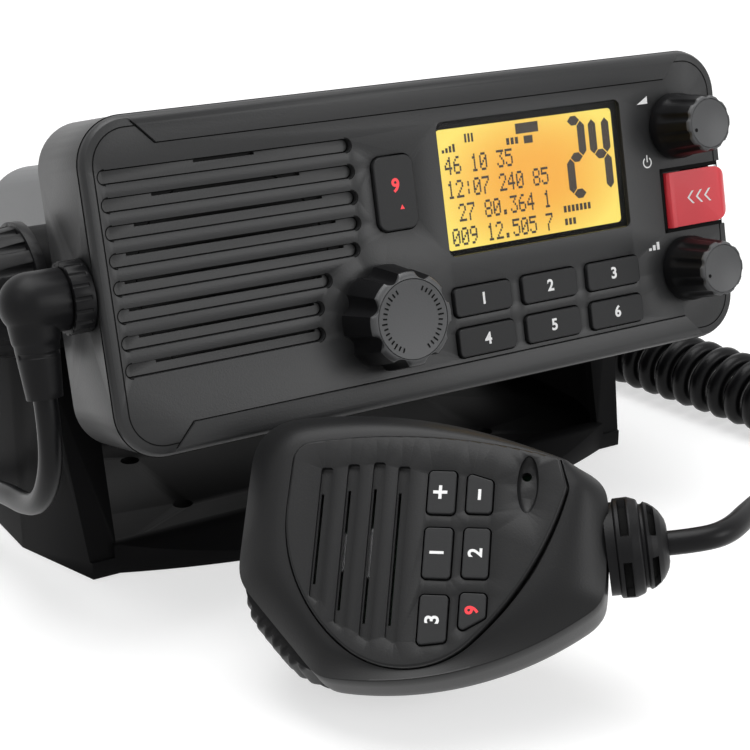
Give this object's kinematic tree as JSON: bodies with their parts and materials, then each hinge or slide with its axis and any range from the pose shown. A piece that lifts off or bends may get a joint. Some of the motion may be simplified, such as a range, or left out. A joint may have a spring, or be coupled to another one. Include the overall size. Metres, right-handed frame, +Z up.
{
  "type": "vhf marine radio",
  "caption": "Fixed-mount marine radio on a tilting gimbal bracket, with grille, lit display, keys, rotary knobs, flip cover and a fist microphone on a curly cord.",
  "frame": {"origin": "centre of the four mounting holes on the underside of the bracket, at the mounting surface", "axes": "+Z up, front panel towards -Y, +X to the right seen from the front"},
  "size_m": [0.2247, 0.2144, 0.1072],
  "materials": {
    "housing": "fine satin grain",
    "bracket_plastic": "satin",
    "case_metal": "satin grey paint",
    "knob_rubber": "matt",
    "key_rubber": "matt",
    "red_plastic": "satin",
    "window_clear": "clear",
    "lcd": "amber lit",
    "diffuser": "matt",
    "board": "satin",
    "steel": "satin",
    "plated": "bright",
    "cone": "matt",
    "seal": "matt",
    "cord_jacket": "satin"
  },
  "bodies": {
    "bracket": {"bracket": "bracket_plastic", "base_pads": "seal", "cord_plug_tail": "cord_jacket", "cord_curl": "cord_jacket", "cord_handset_tail": "cord_jacket"},
    "radio": {"washer_left": "seal", "washer_right": "seal", "front_bezel": "housing", "face_gasket": "seal", "rear_chassis": "case_metal", "case_screws": "steel", "speaker_frame": "steel", "speaker_cone": "cone", "front_board": "board", "main_board": "board", "display_window": "window_clear", "lcd_glass": "lcd", "lcd_backlight": "diffuser", "keypad_mat": "seal", "select_encoder": "steel", "volume_pot": "steel", "squelch_pot": "steel", "distress_pin": "steel", "distress_spring": "steel", "mic_socket": "plated", "mic_plug": "knob_rubber", "antenna_socket": "plated", "power_gland": "seal"},
    "knob_left": {"knob_left": "knob_rubber"},
    "knob_right": {"knob_right": "knob_rubber"},
    "select_push": {"select_switch": "steel"},
    "select_knob": {"select_knob": "knob_rubber"},
    "volume_knob": {"volume_knob": "knob_rubber"},
    "squelch_knob": {"squelch_knob": "knob_rubber"},
    "key_upper_left": {"key_upper_left": "key_rubber"},
    "key_upper_middle": {"key_upper_middle": "key_rubber"},
    "key_upper_right": {"key_upper_right": "key_rubber"},
    "key_lower_left": {"key_lower_left": "key_rubber"},
    "key_lower_middle": {"key_lower_middle": "key_rubber"},
    "key_lower_right": {"key_lower_right": "key_rubber"},
    "key_channel": {"key_channel": "key_rubber"},
    "distress_cover": {"distress_cover": "red_plastic"},
    "distress_button": {"distress_button": "red_plastic"},
    "plug_ring": {"mic_plug_ring": "knob_rubber"},
    "handset": {"handset_front": "housing", "handset_face": "housing", "handset_rear": "housing", "handset_board": "board", "mic_capsule": "steel", "handset_screws": "steel", "hangup_stud": "plated", "handset_strain_relief": "seal"},
    "ptt_button": {"ptt_button": "key_rubber"},
    "hand_key_up": {"hand_key_up": "key_rubber"},
    "hand_key_down": {"hand_key_down": "key_rubber"},
    "hand_key_middle": {"hand_key_middle": "key_rubber"},
    "hand_key_scan": {"hand_key_scan": "key_rubber"},
    "hand_key_power": {"hand_key_power": "key_rubber"},
    "hand_key_channel": {"hand_key_channel": "key_rubber"}
  },
  "joints": [
    {"name": "radio_tilt", "type": "hinge", "parent": "bracket", "child": "radio", "pos_m": [0, -0.0193, 0.0645], "axis": [1, 0, 0], "range_deg": [-15, 25], "deforming": ["cord_plug_tail"]},
    {"name": "knob_left_turn", "type": "hinge", "parent": "radio", "child": "knob_left", "pos_m": [-0.085, -0.0193, 0.0645], "axis": [-1, 0, 0], "continuous": true},
    {"name": "knob_right_turn", "type": "hinge", "parent": "radio", "child": "knob_right", "pos_m": [0.085, -0.0193, 0.0645], "axis": [1, 0, 0], "continuous": true},
    {"name": "select_press", "type": "slide", "parent": "radio", "child": "select_push", "axis": [0, 0.9727, -0.2321], "range_m": [0, 0.0012], "stiffness_N_per_m": 150},
    {"name": "select_turn", "type": "hinge", "parent": "select_push", "child": "select_knob", "pos_m": [-0.0179, -0.06449, 0.06038], "axis": [0, 0.9727, -0.2321], "continuous": true},
    {"name": "volume_turn", "type": "hinge", "parent": "radio", "child": "volume_knob", "pos_m": [0.0667, -0.05723, 0.09082], "axis": [0, 0.9727, -0.2321], "range_deg": [-60, 240]},
    {"name": "squelch_turn", "type": "hinge", "parent": "radio", "child": "squelch_knob", "pos_m": [0.0667, -0.065, 0.05824], "axis": [0, 0.9727, -0.2321], "range_deg": [-60, 240]},
    {"name": "key_upper_left_press", "type": "slide", "parent": "radio", "child": "key_upper_left", "axis": [0, 0.9727, -0.2321], "range_m": [0, 0.0008], "stiffness_N_per_m": 150},
    {"name": "key_upper_middle_press", "type": "slide", "parent": "radio", "child": "key_upper_middle", "axis": [0, 0.9727, -0.2321], "range_m": [0, 0.0008], "stiffness_N_per_m": 150},
    {"name": "key_upper_right_press", "type": "slide", "parent": "radio", "child": "key_upper_right", "axis": [0, 0.9727, -0.2321], "range_m": [0, 0.0008], "stiffness_N_per_m": 150},
    {"name": "key_lower_left_press", "type": "slide", "parent": "radio", "child": "key_lower_left", "axis": [0, 0.9727, -0.2321], "range_m": [0, 0.0008], "stiffness_N_per_m": 150},
    {"name": "key_lower_middle_press", "type": "slide", "parent": "radio", "child": "key_lower_middle", "axis": [0, 0.9727, -0.2321], "range_m": [0, 0.0008], "stiffness_N_per_m": 150},
    {"name": "key_lower_right_press", "type": "slide", "parent": "radio", "child": "key_lower_right", "axis": [0, 0.9727, -0.2321], "range_m": [0, 0.0008], "stiffness_N_per_m": 150},
    {"name": "key_channel_press", "type": "slide", "parent": "radio", "child": "key_channel", "axis": [0, 0.9727, -0.2321], "range_m": [0, 0.0008], "stiffness_N_per_m": 150},
    {"name": "distress_cover_swing", "type": "hinge", "parent": "radio", "child": "distress_cover", "pos_m": [0.0775, -0.05632, 0.07308], "axis": [0, 0.2321, 0.9727], "range_deg": [0, 100], "stiffness_Nm_per_rad": 0.002},
    {"name": "distress_press", "type": "slide", "parent": "radio", "child": "distress_button", "axis": [0, 0.9727, -0.2321], "range_m": [0, 0.001], "stiffness_N_per_m": 150},
    {"name": "plug_ring_turn", "type": "hinge", "parent": "radio", "child": "plug_ring", "pos_m": [-0.083, -0.05334, 0.07262], "axis": [-1, 0, 0], "range_deg": [0, 90]},
    {"name": "handset_lift", "type": "slide", "parent": "bracket", "child": "handset", "axis": [0, 0, 1], "range_m": [0, 0.12], "deforming": ["cord_handset_tail"]},
    {"name": "ptt_press", "type": "slide", "parent": "handset", "child": "ptt_button", "axis": [0.8315, -0.1123, 0.5441], "range_m": [0, 0.0012], "stiffness_N_per_m": 300},
    {"name": "hand_key_up_press", "type": "slide", "parent": "handset", "child": "hand_key_up", "axis": [0.5159, 0.5196, -0.6811], "range_m": [0, 0.0006], "stiffness_N_per_m": 150},
    {"name": "hand_key_down_press", "type": "slide", "parent": "handset", "child": "hand_key_down", "axis": [0.5159, 0.5196, -0.6811], "range_m": [0, 0.0006], "stiffness_N_per_m": 150},
    {"name": "hand_key_middle_press", "type": "slide", "parent": "handset", "child": "hand_key_middle", "axis": [0.5159, 0.5196, -0.6811], "range_m": [0, 0.0006], "stiffness_N_per_m": 150},
    {"name": "hand_key_scan_press", "type": "slide", "parent": "handset", "child": "hand_key_scan", "axis": [0.5159, 0.5196, -0.6811], "range_m": [0, 0.0006], "stiffness_N_per_m": 150},
    {"name": "hand_key_power_press", "type": "slide", "parent": "handset", "child": "hand_key_power", "axis": [0.5159, 0.5196, -0.6811], "range_m": [0, 0.0006], "stiffness_N_per_m": 150},
    {"name": "hand_key_channel_press", "type": "slide", "parent": "handset", "child": "hand_key_channel", "axis": [0.5159, 0.5196, -0.6811], "range_m": [0, 0.0006], "stiffness_N_per_m": 150}
  ]
}
